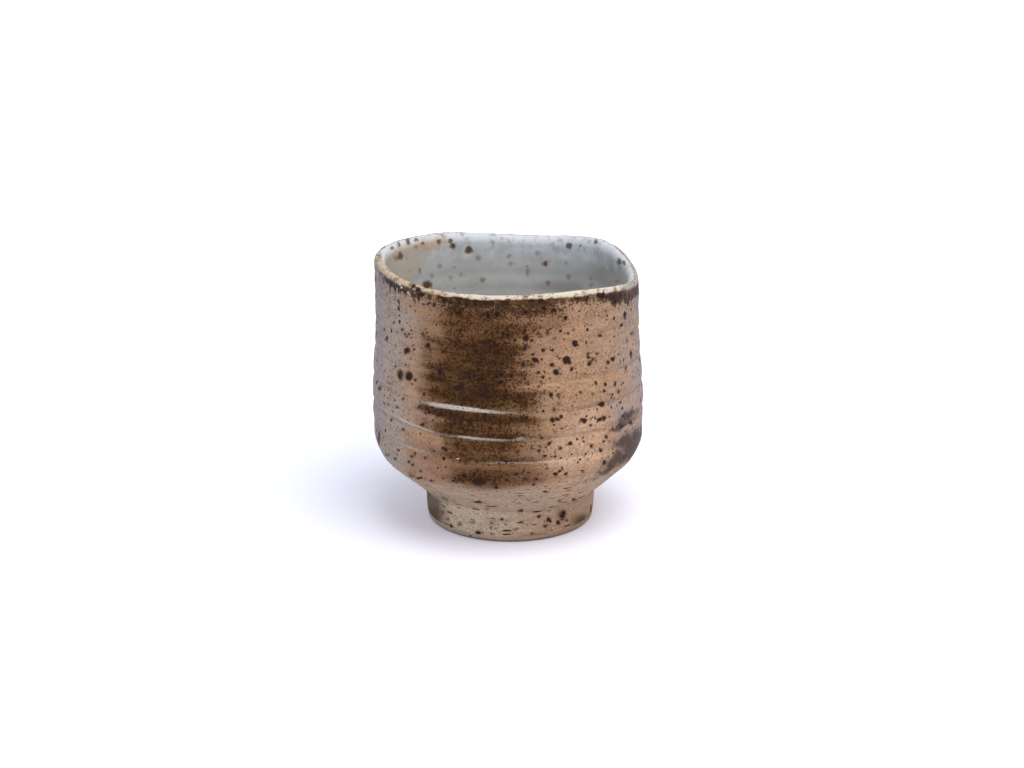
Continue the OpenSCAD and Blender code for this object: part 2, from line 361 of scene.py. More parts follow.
def in_picture(points):
    """Where points lie in the picture, in its pixels."""
    x, y, z = np.moveaxis(points - CAMERA_AT, -1, 0)
    depth = y * np.cos(CAMERA_PITCH) - z * np.sin(CAMERA_PITCH)
    height = y * np.sin(CAMERA_PITCH) + z * np.cos(CAMERA_PITCH)
    return PICTURE_W / 2 + FOCAL_PX * x / depth, PICTURE_H / 2 - FOCAL_PX * height / depth


# Marks of the photograph in its pixels, each (x, y, width, height)

DARK_SPOTS_PX = [
    (428, 346, 4.5, 5), (407, 351, 5.5, 6), (400.5, 376, 4.5, 9.5), (415, 380, 3, 4),
    (409, 376, 6.5, 8), (440, 372, 6, 6.5), (387, 339, 2, 6), (434, 305, 4, 4), (497, 314, 6, 5.5),
    (488, 315, 4.5, 8), (526, 312, 4, 4.5), (508, 309, 3.5, 3), (501, 310, 3.5, 3), (508, 335, 4.5, 4),
    (526, 338, 7, 6.5), (532, 340, 4, 3), (511, 355, 4, 4.5), (523, 364, 4.5, 5), (535, 360, 8.5, 5),
    (538, 361, 3, 4), (502, 364, 6, 3.5), (538, 373, 3.5, 4), (511, 376, 4, 4), (479, 370, 4, 6),
    (474, 376, 4, 4), (464, 376, 3.5, 3), (501, 375, 5.5, 4.5), (473, 389, 4.5, 3), (481, 390, 6, 4),
    (490, 388, 4, 3), (500, 382, 8, 3.5), (544, 308, 5, 5), (554, 310, 5, 4), (565, 318, 4, 4),
    (625, 314, 3.5, 5.5), (625, 318, 2.5, 4.5), (600, 335, 4, 4.5), (575, 343, 6, 6.5),
    (631, 354, 3, 8), (613, 359, 4, 5), (608, 362, 3.5, 4), (589, 364, 5, 5), (566, 360, 8, 8),
    (569, 362, 4, 6), (572, 369, 4, 4.5), (552, 365, 4.5, 3.5), (556, 372, 6, 6), (626, 369, 2.5, 6),
    (615, 384, 2.5, 6), (619, 392, 2.5, 5), (427, 408, 4, 5), (429, 412, 4.5, 5), (446, 412, 5, 3),
    (422, 424, 4, 3.5), (426, 458, 3.5, 3), (446, 450, 4.5, 4), (450, 432, 3.5, 3.5),
    (420, 478, 7, 2.5), (494, 416, 6, 2.5), (526, 418, 5, 5.5), (518, 452, 3.5, 3), (495, 456, 6, 2.5),
    (464, 476, 6, 4.5), (517, 474, 3.5, 3.5), (601, 404, 6, 6), (552, 420, 5.5, 4.5), (557, 419, 4, 3),
    (584, 420, 6.5, 5), (599, 420, 4.5, 5), (604, 418, 5.5, 5), (570, 443, 5, 4), (549, 444, 5, 4),
    (560, 448, 4, 4), (545, 456, 5, 3.5), (592, 446, 3, 4.5), (606, 437, 2.5, 5), (604, 463, 4.5, 4),
    (562, 468, 2.5, 5), (555, 474, 5.5, 4), (566, 474, 4, 3.5), (431, 481, 5, 2), (454, 481, 4, 3),
    (465, 475.5, 5, 4), (496, 487, 5, 3), (536, 479, 3.5, 3), (546, 492, 5, 2.5), (478, 502, 9.5, 2),
    (529, 500, 4.5, 2), (521, 510, 3.5, 2.5), (574, 500, 4.5, 3), (451, 526, 3.5, 4),
    (478, 533, 5.5, 4.5), (539, 516, 3.5, 3.5), (549, 520, 5.5, 4.5), (564, 513, 4, 5),
    (562, 516, 5, 4), (558, 523, 4, 4), (567, 520, 3.5, 3), (545, 526, 3, 3), (502, 519, 4, 3),
    (525, 538, 4.5, 3), (601, 296, 9, 7), (413, 286, 5, 4), (417.5, 290, 6, 5.5), (421, 294.5, 6, 5),
    (391, 283, 3, 4), (399, 303, 1.6, 8), (537, 334, 2.5, 2.5), (540.5, 334.5, 2.6, 2.4),
    (548, 332, 2, 2), (552.5, 339, 2, 2.2), (557.5, 356.5, 2.6, 2.6), (553, 356, 2, 2),
    (516, 353, 3, 3), (523, 350, 2, 2), (528, 347, 2, 2), (535, 343, 2.2, 2), (524, 372, 2.6, 3),
    (518, 375, 2.8, 2.4), (532, 367, 2, 2), (544, 371, 2, 2), (560.5, 374, 2.6, 2.4),
    (559.5, 369, 2, 2), (541.5, 381.5, 2.4, 2.4), (539, 387, 4, 2.6), (545, 391, 2.6, 2.4),
    (534, 397, 2.6, 2.8), (531.5, 395.5, 2.4, 2), (541, 393.5, 2.6, 2.4), (551, 395.5, 4, 5.5),
    (558, 394.5, 3.6, 3), (559.5, 397, 2.6, 2.6), (538, 397, 2, 2), (558.5, 403.5, 2.4, 2.2),
    (538, 425.5, 3, 2), (555, 431.5, 2.8, 2.2), (562, 428.5, 2.6, 2.4), (556, 451.5, 2.8, 2.4),
    (539.5, 451, 3.8, 3), (555, 456.5, 3, 2.6), (532, 446.5, 2.2, 2), (525.5, 445.5, 2.2, 2),
    (434, 451, 3, 2.6), (463, 448, 2.6, 2.2), (394, 322.5, 2.6, 2.6), (402.5, 330, 2.4, 3),
    (405, 334, 3, 3), (409, 334.5, 2.4, 2.4), (407, 337, 2.6, 2.4), (423, 334.5, 3, 2.6),
    (425.5, 329, 2.4, 2.4), (428, 304, 3.4, 3.4), (413, 345.5, 2.4, 2.4), (414, 349, 2.4, 2.4),
    (410.5, 358, 2.6, 2.6), (395, 366.5, 3, 3), (424, 394, 3, 3), (419.5, 407, 3.2, 3.2),
    (403, 399, 3, 3), (394.5, 400, 3, 3), (384, 403, 2.6, 2.6), (388, 404.5, 2.6, 2.6),
    (397, 407, 2.6, 2.6), (391.5, 420, 2.6, 2.6), (398, 450, 3, 3), (411.5, 457, 3.2, 2.6),
    (415, 454, 2.8, 2.8), (395.5, 459, 2.8, 2.8), (409, 462, 2.6, 2.6), (413, 464.5, 2.8, 2.8),
    (421, 471, 3, 3), (418.5, 478, 5, 2.6), (573, 330, 2.8, 3), (621, 325, 3, 3.4),
    (586, 343, 2.8, 2.8), (588, 353.5, 3.2, 3.2), (597, 354, 3.4, 3.2), (593, 358.5, 3.2, 2.6),
    (591, 361, 2.8, 2.4), (604, 391, 3, 3), (593, 393.5, 2.8, 2.8), (580.5, 392.5, 2.6, 2.6),
    (574, 401, 2.8, 2.8), (611, 397, 2.8, 2.8), (620, 403, 3, 3), (591, 418.5, 2.8, 3),
    (591, 425, 3, 3), (583, 437, 3, 2.6), (584, 442, 2.8, 2.8), (600.5, 450, 2.8, 2.8),
    (547.5, 468.5, 2.8, 2.6), (582.5, 471, 3.2, 2.4),
]
SOFT_SPOTS_PX = [
    (459, 313, 5, 4), (484, 342, 6, 4.5), (494, 343, 4.5, 4), (460, 387, 8, 7), (482, 391, 12, 9),
    (490, 387, 8, 6.5), (632, 333, 2, 6), (627, 340, 2, 6), (620, 361, 2.5, 5), (439, 415, 6, 5),
    (412, 476, 9, 1.5), (484, 417, 5, 6), (471, 424, 6, 4.5), (490, 428, 4, 4), (506, 424, 4, 3.5),
    (490, 451, 3.5, 3), (461, 475, 7, 2.5), (554, 409, 4, 4.5), (460, 422, 5.5, 5), (470, 423, 6, 5),
    (490, 428, 5, 4), (463, 361, 4, 4), (457, 388, 6, 5), (526, 479, 6, 3.5), (487, 508, 4, 2),
    (560, 501, 3.5, 3), (479, 482, 14, 8), (380, 388, 3, 5), (379, 438, 3, 14), (407, 351, 7.5, 8.5),
    (400.5, 375, 7, 12.5), (409, 375.5, 8.5, 10.5), (387, 455, 5, 3), (403, 429, 4, 4),
    (461, 418, 5, 4), (461, 423, 4, 4), (622, 427, 4, 4), (631, 423, 4, 4), (619, 354, 3, 3),
]
RUST_SPOTS_PX = [
    (580, 422, 4, 3), (448, 519, 3, 3.5), (460, 524, 4, 4), (472, 522, 4.5, 2.5), (443, 512, 3, 4),
    (483, 534, 3, 3.5), (492, 534, 4, 3), (491, 528, 3, 3), (492, 523, 3, 3), (516, 529, 6.5, 3),
]
INNER_DARK_SPOTS_PX = [
    (392, 248, 3, 3), (399, 244, 3, 3.5), (408, 241, 4, 5), (416, 240, 4.5, 3), (423, 244, 3.5, 2.5),
    (400, 256, 4.5, 5.5), (439, 242, 4.5, 4), (450, 241, 4, 3.5), (453, 246, 4.5, 3.5),
    (427, 285, 7, 6.5), (469, 250, 6.5, 6.5), (569, 246, 5.5, 5.5), (545, 264, 3, 3),
    (596, 242, 3, 3.5), (619, 261, 4, 6), (624, 263, 3, 4.5),
]
INNER_RUST_SPOTS_PX = [
    (416, 247, 3, 4), (396, 258, 4, 5), (420, 271, 4, 6), (483, 280, 5.5, 5), (545, 264, 6, 6),
    (548, 283, 5, 4.5), (617, 281, 3, 3), (469, 250, 9, 9), (427, 284, 10, 9), (453, 246, 7, 6),
]
INNER_SOFT_SPOTS_PX = [
    (444, 236, 4.5, 3), (440, 266, 4.5, 4), (432, 276, 3.5, 4), (451, 278, 3.5, 3.5), (478, 258, 4, 4),
    (492, 242, 4.5, 3), (493, 235, 5, 2.5), (462, 234, 4, 2.5), (461, 275, 3.5, 3.5), (528, 272, 4, 6),
    (537, 253, 4, 3.5), (509, 256, 4, 3), (511, 264, 3.5, 3.5), (560, 241, 3.5, 3),
    (566, 263, 3.5, 3.5), (569, 277, 4.5, 4.5), (591, 285, 5, 3), (589, 241, 3, 2.5),
]
# White chips in the glaze, and painted glints in three pits
CHIPS_AND_GLINTS_PX = [
    (400, 284.5, 1.6, 3), (401.5, 287.5, 1.8, 3), (408, 292.5, 1.8, 2.6), (409.5, 294.5, 1.6, 2.4),
    (458, 458.5, 4, 1.6), (495, 463, 2, 1.2), (504.5, 462.5, 2, 1.2), (508.5, 463, 2, 1.2),
    (534, 463, 2, 1.2), (514.5, 476.5, 1.6, 1.4), (548.5, 444.5, 1.6, 1.4), (501, 381.5, 2, 1.1),
    (520, 437.5, 1.8, 1.2), (524, 439, 1.4, 1.2),
]

# Edges of the dark flash and how deep it is, each a list of (picture height, value)
FLASH_LEFT_PX = [(298, 440), (330, 427), (351, 427), (380, 422), (400, 425), (435, 436), (455, 441),
                 (475, 448), (490, 458)]
FLASH_RIGHT_PX = [(298, 588), (318, 558), (332, 541), (351, 523), (373, 526), (393, 529), (415, 529),
                  (435, 533), (455, 538), (475, 547), (490, 530)]
FLASH_DEPTH_PX = [(300, 0.74), (326, 0.72), (342, 0.95), (400, 1.0), (425, 0.90), (450, 0.80),
                  (462, 0.76), (482, 0.68), (495, 0.0)]
FLASH_LEFT_SOFT_PX = 46
FLASH_RIGHT_SOFT_PX = 84
# Edge of the tan part of the liner, as the flash's edges
INNER_TAN_EDGE_PX = [(234, 466), (240, 452), (245, 440), (251, 432), (256, 423), (266, 420),
                     (278, 415), (296, 410)]

# Soft patches of one colour
GOLD_PATCHES_PX = [
    (474, 364, 28, 10), (500, 405, 44, 8), (478, 459, 34, 7), (456, 398, 24, 10), (520, 420, 20, 8),
]
SMOKE_PATCHES_PX = [
    (631, 447, 24, 26), (618, 459, 36, 17), (636, 437, 12, 22), (609, 469, 26, 8), (622, 425, 32, 7),
    (629, 415, 24, 6), (633, 457, 16, 20), (625, 440, 24, 16),
]
# The smoke rises to the right by this share of the way
SMOKE_RISE = 0.55
DARK_PATCHES_PX = [
    (487, 352, 60, 24), (470, 376, 40, 16), (488, 395, 60, 18), (470, 424, 80, 14), (490, 386, 44, 12),
    (502, 372, 36, 40), (482, 320, 40, 14), (529, 363, 26, 12), (526, 423, 28, 10), (500, 402, 20, 8),
    (536, 360, 24, 14), (532, 430, 22, 10), (486, 316, 30, 8), (380, 441, 12, 22), (381, 284, 12, 14),
    (612, 296, 30, 12), (478, 478, 50, 14), (524, 432, 26, 12), (466, 446, 50, 8), (488, 487, 44, 8),
    (408, 377, 14, 8), (628, 304, 16, 14),
]
# Where the flash is paler; those on the right of the belly's underside are painted light
PALE_FLASH_AND_PAINTED_LIGHT_PATCHES_PX = [
    (440, 336, 18, 20), (452, 406, 20, 6), (440, 356, 14, 12), (486, 467, 60, 8), (572, 462, 60, 26),
    (580, 440, 40, 20), (560, 305, 70, 12), (524, 319, 44, 12), (586, 461, 30, 26), (446, 305, 18, 8),
    (424, 372, 18, 10), (524, 390, 14, 10), (443, 400, 18, 6), (436, 470, 40, 10),
]
# Painted light: a lighter tan on the right of the belly's underside, where light falls on it
BELLY_PAINTED_LIGHT_PATCHES_PX = [(580, 455, 74, 46), (570, 488, 60, 20), (592, 425, 40, 30)]
# Dark patches of the foot; the one on its left is painted shade, on the side away from the key lamp
FOOT_DARK_AND_SHADE_PATCHES_PX = [
    (556, 537, 70, 8), (433, 515, 26, 34), (582, 522, 22, 18), (562, 515, 10, 12), (500, 543, 90, 2.5),
]
INNER_TAN_PATCHES_PX = [(612, 278, 24, 16)]
INNER_DULL_PATCHES_PX = [(606, 268, 50, 40), (560, 286, 60, 14)]
INNER_WARM_PATCHES_PX = [(420, 246, 50, 12), (402, 255, 18, 12), (440, 242, 36, 7)]

# Pale lines where the glaze ran thin on a groove: points of (x, y, width, strength)
PALE_LINES_PX = [
    [(400, 396.5, 1.4, 0.1), (414, 400, 1.6, 0.35), (425, 402.5, 2, 0.4), (431, 404, 3.4, 0.75),
     (450, 407, 4.2, 1.0), (472, 409.7, 3.8, 1.0), (488, 411.5, 2.8, 0.9), (503, 412.8, 1.8, 0.6),
     (528, 413.5, 1.2, 0.15)],
    [(378, 405, 1.0, 0.2), (390, 413, 1.4, 0.5), (404, 421, 1.7, 0.7), (427, 430, 1.5, 0.75),
     (440, 434, 1.4, 0.4), (450, 435.8, 1.5, 0.6), (462, 437, 1.9, 0.95), (480, 439, 2.0, 1.0),
     (498, 440.2, 1.7, 0.8), (512, 440.4, 1.5, 0.5), (521, 438.6, 3.6, 0.5), (528, 439.4, 2, 0.3),
     (545, 439.4, 1.1, 0.15), (560, 438.2, 1.4, 0.4),
     (576, 436, 1.4, 0.5), (602, 432, 1.0, 0.1)],
    [(394, 440, 0.8, 0.1), (404, 445, 0.9, 0.5), (418, 450.5, 1.0, 0.5), (434, 455, 0.8, 0.15)],
    [(470, 461.5, 1, 0.1), (490, 463, 1.4, 0.4), (512, 463, 1.3, 0.35), (533, 463, 1.4, 0.5),
     (566, 460, 1.3, 0.45), (600, 455, 1, 0.1)],
]

# A fainter line of the same kind, golden in the flash
GOLD_LINE_PX = [(436, 378, 2, 0.1), (448, 379.5, 3, 0.8), (466, 380.5, 3, 1.0), (486, 381.5, 2, 0.1)]


# Depth given to what lies outside every spot and line, in millimetres
FAR_OUTSIDE = -2.0


def depth_in_spots(spots, x, y, facing):
    """How deep places lie inside the nearest of some spots, in millimetres. Outside is below 0."""
    best = np.full(x.shape, FAR_OUTSIDE)
    for at_x, at_y, width, height in spots:
        near = np.hypot((x - at_x) / (width / 2), (y - at_y) / (height / 2))
        size = np.sqrt(width * height) / 2 * MM_PER_PX
        best = np.maximum(best, np.where(facing, (1 - near) * size, FAR_OUTSIDE))
    return best


def faded(near):
    """1 in the middle of a patch, where near is 0, falling past its edge, where near is 1."""
    return np.exp(-0.9 * near ** 2)


def soft_patches(patches, x, y, facing, rise=0.0):
    """1 in the middle of the nearest patch, fading past its edge. A rise tilts the patches."""
    total = np.zeros(x.shape)
    for at_x, at_y, width, height in patches:
        level = y - at_y + rise * (x - at_x)
        near = np.hypot((x - at_x) / (width / 2), level / (height / 2))
        total = np.maximum(total, faded(near))
    return total * facing


def depth_in_lines(lines, x, y, facing):
    """How deep places lie inside the nearest pale line, in millimetres, and its strength."""
    best = np.full(x.shape, FAR_OUTSIDE)
    strength = np.zeros(x.shape)
    for points in lines:
        for (x0, y0, width0, weight0), (x1, y1, width1, weight1) in zip(points[:-1], points[1:]):
            length = np.hypot(x1 - x0, y1 - y0)
            share = np.clip(((x - x0) * (x1 - x0) + (y - y0) * (y1 - y0)) / length ** 2, 0, 1)
            gap = np.hypot(x - x0 - share * (x1 - x0), y - y0 - share * (y1 - y0))
            width = width0 + share * (width1 - width0)
            inside = np.where(facing, (width / 2 - gap) * MM_PER_PX, FAR_OUTSIDE)
            strength = np.where(inside > best, weight0 + share * (weight1 - weight0), strength)
            best = np.maximum(best, inside)
    return best, strength


# Tones of the surface, each one number at every point of a mesh

def ragged(rng, a, lowest, highest):
    """Uneven line round the cup, of about unit size, from waves that close on themselves."""
    total = np.zeros(a.shape)
    for order in range(lowest, highest + 1):
        total += np.cos(order * a + rng.uniform(0, 2 * np.pi)) * rng.uniform(0.5, 1)
    return total * np.sqrt(2 / (highest - lowest + 1))


def round_window(turn, left, right, soft):
    """1 between two turns, also where the stretch goes past the back of the cup."""
    middle = (left + right) / 2
    gap = np.abs((turn - middle + 180) % 360 - 180)
    return smooth(((right - left) / 2 - gap) / soft + 0.5)


def random_spots(rng, ground):
    """How deep places lie inside spots strewn by chance, in millimetres."""
    best = np.full(ground.a.shape, FAR_OUTSIDE)
    for _ in range(RANDOM_SPOTS):
        turn = rng.uniform(*OUT_OF_VIEW)
        height = rng.uniform(3, CUP_H - 2)
        size = 0.45 + 0.75 * rng.uniform() ** 3
        squash = rng.uniform(0.7, 1.15)
        a = (turn - 90) * DEGREE
        across = np.abs((ground.a - a + np.pi) % (2 * np.pi) - np.pi) * ground.r
        gap = np.hypot(across / squash, ground.z - height)
        best = np.maximum(best, np.where(ground.run > 0, size - gap, FAR_OUTSIDE))
    return best


def foot_warmth(ground):
    """How far the foot's grey turns to a warm tan, on its right."""
    return round_window(ground.turn, 10, 150, 100)


def follow(y, points):
    """Value at picture height y on a line through points [height, value]."""
    heights, values = np.array(points, float).T
    return np.interp(y, heights, values)


def tones(ground, shown):
    """All tones of a mesh. Turns are in degrees, and heights, runs and depths in millimetres."""
    rng = np.random.default_rng(TONE_SEED)
    x, y = in_picture(shown)
    facing = (grid_normals(shown) * (CAMERA_AT - shown)).sum(axis=2) > 0
    turn, z, run, a = ground.turn, ground.z, ground.run, ground.a
    outer = facing & (run > -1.2)
    inner = facing & (run < 0.3)
    round_inner = (run < 0.3) * smooth((np.abs(turn) - 62) / 30)

    def turns(left, right, soft, shift=0):
        return round_window(turn + shift, left, right, soft)

    def patches(group, share=outer, right=0, down=0, rise=0):
        return soft_patches(group, x + right, y + down, share, rise)

    broad = waves(rng, ground.points, 20, 22, 50)
    mid = waves(rng, ground.points, 30, 7, 16)
    fine = waves(rng, ground.points, 40, 2.5, 6)
    streaks = thrown_lines(rng, a, z, 12, 2, 7)
    outside = smooth((run - 1) / 2)
    unseen = turns(84, 276, 16)

    # The dark flash of the front, and another behind the left side
    uneven_px = 3 * mid + 2 * fine + 2.5 * streaks
    from_left = (x + uneven_px - follow(y, FLASH_LEFT_PX)) / FLASH_LEFT_SOFT_PX
    from_right = (follow(y, FLASH_RIGHT_PX) - x + uneven_px) / FLASH_RIGHT_SOFT_PX
    front = smooth(from_left + 0.5) * smooth(from_right + 0.5)
    front = front * follow(y, FLASH_DEPTH_PX) * (facing & (run > 0))
    back = turns(-168 + 6 * mid, -112 + 6 * mid, 48)
    back = back * window(z + 2 * fine, 26, 64 + 2 * mid, 18) * (0.68 + 0.14 * broad + 0.1 * mid)
    scorch = front * (1 + 0.04 * mid + 0.06 * streaks) + back + 0.05 * streaks * unseen
    # Less flash in paler patches, which on the right of the belly's underside are painted light
    scorch = scorch + 0.22 * patches(DARK_PATCHES_PX) - 0.25 * patches(PALE_FLASH_AND_PAINTED_LIGHT_PATCHES_PX)
    scorch = scorch + 0.12 * np.clip(mid + 0.6 * streaks - 0.4, 0, 1.5) * outside * unseen

    # Reddish brown round the flash, in the belly and below the lip
    red = turns(-44 + 4 * mid, 22 + 5 * mid, 34) * window(z, 22, 34, 8)
    red = red + 0.5 * window(z, 64, 82, 10) * turns(-44, 24, 26) + 0.22 * np.clip(mid, 0, 1)
    red = red + 0.5 * turns(-185, -95, 30) * window(z, 24, 74, 8)

    # Grey where the ash is thin: the sides, the underside and the foot. The greyer band along the
    # cup's seen edges is painted sheen of grazing light.
    grey = smooth((-48 + 4 * mid + 3 * streaks - turn) / 50 + 0.5) * (turn > -150)
    grey = grey * (1 - smooth((-turn - 112 + 8 * mid + 3 * streaks) / 56 + 0.5))
    grey = grey + 0.55 * turns(48, 150, 48, 5 * mid + 2.5 * streaks)
    low = smooth((24 + mid + 1.2 * broad - z) / 7)
    # Painted sheen: greyer and more lavender where the wall turns away at the cup's seen edges
    edge_sheen = turns(66, 96, 34, 6 * mid + 4 * streaks + 3 * broad)
    left_edge_sheen = smooth((-67 - turn + 3 * mid + 2 * streaks) / 20 + 0.5)
    edge_sheen = edge_sheen + left_edge_sheen * (1 - smooth((-turn - 92 + 7 * mid + 3 * streaks) / 44 + 0.5))
    edge_sheen = edge_sheen * smooth((z - 17) / 12)

    # Smoke on the right, whose tail goes on behind
    smoke = patches(SMOKE_PATCHES_PX, outer, fine, 0.7 * fine, SMOKE_RISE)
    tail_z = 29 + 0.12 * (turn - 84) + 2 * mid + 1.5 * fine
    tail = np.hypot((turn - 88 + 4 * mid) / 24, (z - tail_z) / 8)
    smoke = np.maximum(smoke, faded(tail) * smooth((turn - 70) / 10) * (run > 0))

    # Cream on the crest of the lip, with a ragged dark edge below it
    left_lip = turns(-74, -38, 14)
    right_lip = turns(46, 84, 12)
    edge = 1.15 + 0.10 * ragged(rng, a, 9, 30) + 0.10 * ragged(rng, a, 31, 110)
    edge = edge + 0.35 * turns(18, 80, 24) + 0.25 * turns(-104, -52, 20)
    cream_in = 0.3 + 0.8 * np.clip(turns(-38, 52, 14) + turns(-96, -30, 10), 0, 1)
    cream = smooth(edge - run + 0.5) * smooth((run + cream_in) / 0.9 + 0.5)
    reach = 1.2 + 0.6 * ragged(rng, a, 5, 24) + 0.5 * ragged(rng, a, 25, 110)
    drips = np.clip(ragged(rng, a, 40, 120) - 1.1, 0, 1)
    reach = np.maximum(reach, 0.5) + (1.5 + 3 * left_lip) * drips + 0.9 * left_lip + 3 * right_lip
    strong = turns(-36, 44, 18) + 0.95 * left_lip + 0.9 * right_lip - 0.35 * turns(12, 40, 14)
    strong = 0.3 + 0.7 * np.clip(strong, 0, 1)
    strong = np.where(unseen > 0.5, 0.6 + 0.3 * ragged(rng, a, 3, 12), strong)
    band = smooth((run - edge) / 0.5 + 0.5) * smooth((edge + reach - run) / 2 + 0.5) * strong
    under_lip = np.exp(-np.maximum(run - edge - 1, 0) / 2.6) * outside * strong

    # The liner
    inner_tan = smooth((follow(y, INNER_TAN_EDGE_PX) - x + 3 * fine + 2 * mid) / 26 + 0.5)
    inner_tan = inner_tan * round_inner * smooth((-run - 1) / 3) * smooth((z - 22) / 14)
    inner_tan = np.maximum(inner_tan, 0.6 * patches(INNER_TAN_PATCHES_PX, round_inner))
    # Top of the inner wall: the glaze's own mottle, made whiter and bluer as painted light from the
    # sky
    lip_white_and_painted_light = smooth((run + 10 - 4 * turns(40, 112, 30) + fine) / 8)

    # Spots, chips with painted glints, and pale lines
    near_x = x + 0.45 * waves(rng, ground.points, 24, 1.4, 3)
    near_y = y + 0.45 * waves(rng, ground.points, 24, 1.4, 3)

    def spots(outer_spots, inner_spots):
        return np.maximum(depth_in_spots(outer_spots, near_x, near_y, outer),
                          depth_in_spots(inner_spots, near_x, near_y, inner))

    dark = spots(DARK_SPOTS_PX, INNER_DARK_SPOTS_PX)
    dark = np.maximum(dark, random_spots(rng, ground))
    pale, pale_strength = depth_in_lines(PALE_LINES_PX, x, y, outer)
    for line_z in GROOVE_Z[:4]:
        broken = ragged(rng, a, 3, 14)
        depth = 0.28 - np.abs(z - line_z - 0.25)
        better = (depth > pale) & (run > 0) & (unseen > 0.3)
        pale_strength = np.where(better, np.clip(broken, 0, 1) * 0.7 * unseen, pale_strength)
        pale = np.where(better, depth, pale)
    thin, thin_strength = depth_in_lines([GOLD_LINE_PX], x, y, outer)
    gold = patches(GOLD_PATCHES_PX) + 2 * thin_strength * smooth(thin / 0.4 + 0.6)

    # How many specks there are, and how dense the dust is
    foot = smooth((FOOT_TONE_Z - z) / 3)
    many = 0.50 + 0.32 * turns(-2, 84, 24) + 0.10 * broad
    many = many + 0.12 * turns(-110, -44, 20) + 0.3 * under_lip
    dense = 0.03 + 0.86 * np.clip(scorch, 0, 1.1) + 0.95 * under_lip + 0.5 * band
    dense = dense + 0.18 * turns(-4, 44, 30) * window(z, 30, 76, 8) + 0.04 * mid
    dense = dense + 0.25 * smooth((dark + 1.2) / 1.2) * outside + 0.35 * np.clip(smoke, 0, 1)
    # Painted shade on the left side of the foot, low down
    foot_left_shade = 0.95 * turns(-104, -56, 50, 5 * mid) * smooth((12 - z) / 3)
    foot_left_shade = foot_left_shade * (1 - 0.5 * window(z, 0, 2.5 + mid, 2))

    return dict(
        outside=outside, inside=smooth((0.1 - run) / 0.6), scorch=scorch, red=red, grey=grey,
        edge_sheen=edge_sheen, low=low, smoke=smoke, belly_painted_light=patches(BELLY_PAINTED_LIGHT_PATCHES_PX), gold=gold,
        cream=cream, band=band, streaky=left_lip + right_lip, lip_warm=turns(-98, -26, 24),
        lip_grey=turns(54, 250, 26) + 0.4 * turns(-112, -66, 16), lip_white_and_painted_light=lip_white_and_painted_light,
        inner_tan=inner_tan, inner_dull=patches(INNER_DULL_PATCHES_PX, round_inner),
        inner_warm=0.9 * patches(INNER_WARM_PATCHES_PX, round_inner, 4 * fine, 2 * fine),
        foot=foot, foot_warm=foot_warmth(ground),
        foot_dark_and_shade=np.maximum(patches(FOOT_DARK_AND_SHADE_PATCHES_PX), foot_left_shade),
        dark_spot=dark, rust_spot=spots(RUST_SPOTS_PX, INNER_RUST_SPOTS_PX),
        soft_spot=spots(SOFT_SPOTS_PX, INNER_SOFT_SPOTS_PX),
        chip_and_glint=depth_in_spots(CHIPS_AND_GLINTS_PX, x, y, outer), pale=pale, pale_strength=pale_strength,
        many=many, dense=dense * (1 - 0.7 * foot))


# Meshes

def lathe_mesh(name, grid, normals=None, bands=1):
    """Mesh of rows of points round the cup, whose last row meets the first."""
    rows, columns = grid.shape[:2]
    index = np.arange(rows * columns).reshape(rows, columns)
    beside = np.roll(index, -1, axis=1)
    above = np.roll(index, -1, axis=0)
    beside_above = np.roll(beside, -1, axis=0)
    quads = np.stack([index, beside, beside_above, above], -1).reshape(-1, 4)
    mesh = bpy.data.meshes.new(name)
    mesh.from_pydata((grid.reshape(-1, 3) * METRE).tolist(), [], quads.tolist())
    mesh.shade_smooth()
    lay_out(mesh, grid, bands)
    if normals is not None:
        mesh.normals_split_custom_set_from_vertices(normals.reshape(-1, 3).tolist())
    return mesh


def lay_out(mesh, grid, bands):
    """Lays the quads out as a map of the surface, in bands one above the other."""
    rows, columns = grid.shape[:2]
    way = np.linalg.norm(np.roll(grid, -1, axis=0) - grid, axis=2).mean(axis=1)
    way = np.r_[0, np.cumsum(way)] / way.sum()
    row = np.repeat(np.arange(rows), columns)
    column = np.tile(np.arange(columns), rows)
    per_band = columns // bands
    band = column // per_band
    margin = 0.004
    left = (column % per_band) / per_band
    sides = np.stack([left, left + 1 / per_band, left + 1 / per_band, left], -1)
    heights = np.stack([way[row], way[row], way[row + 1], way[row + 1]], -1)
    u = margin + sides * (1 - 2 * margin)
    v = (band[:, None] + margin + heights * (1 - 2 * margin)) / bands
    layer = mesh.uv_layers.new(name="OFBake")
    layer.data.foreach_set("uv", np.stack([u, v], -1).astype(np.float32).ravel())


def give(mesh, name, values):
    """Gives a mesh one number at each of its points."""
    flat = np.asarray(values, np.float32).ravel()
    mesh.attributes.new(name, "FLOAT", "POINT").data.foreach_set("value", flat)


def add_item(name, content):
    item = bpy.data.objects.new(name, content)
    bpy.context.scene.collection.objects.link(item)
    return item


def add_piece(name, mesh, node, material):
    piece = add_item(name, mesh)
    mesh.materials.append(material)
    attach(piece, "root")
    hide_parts(node)
    return piece


# Materials

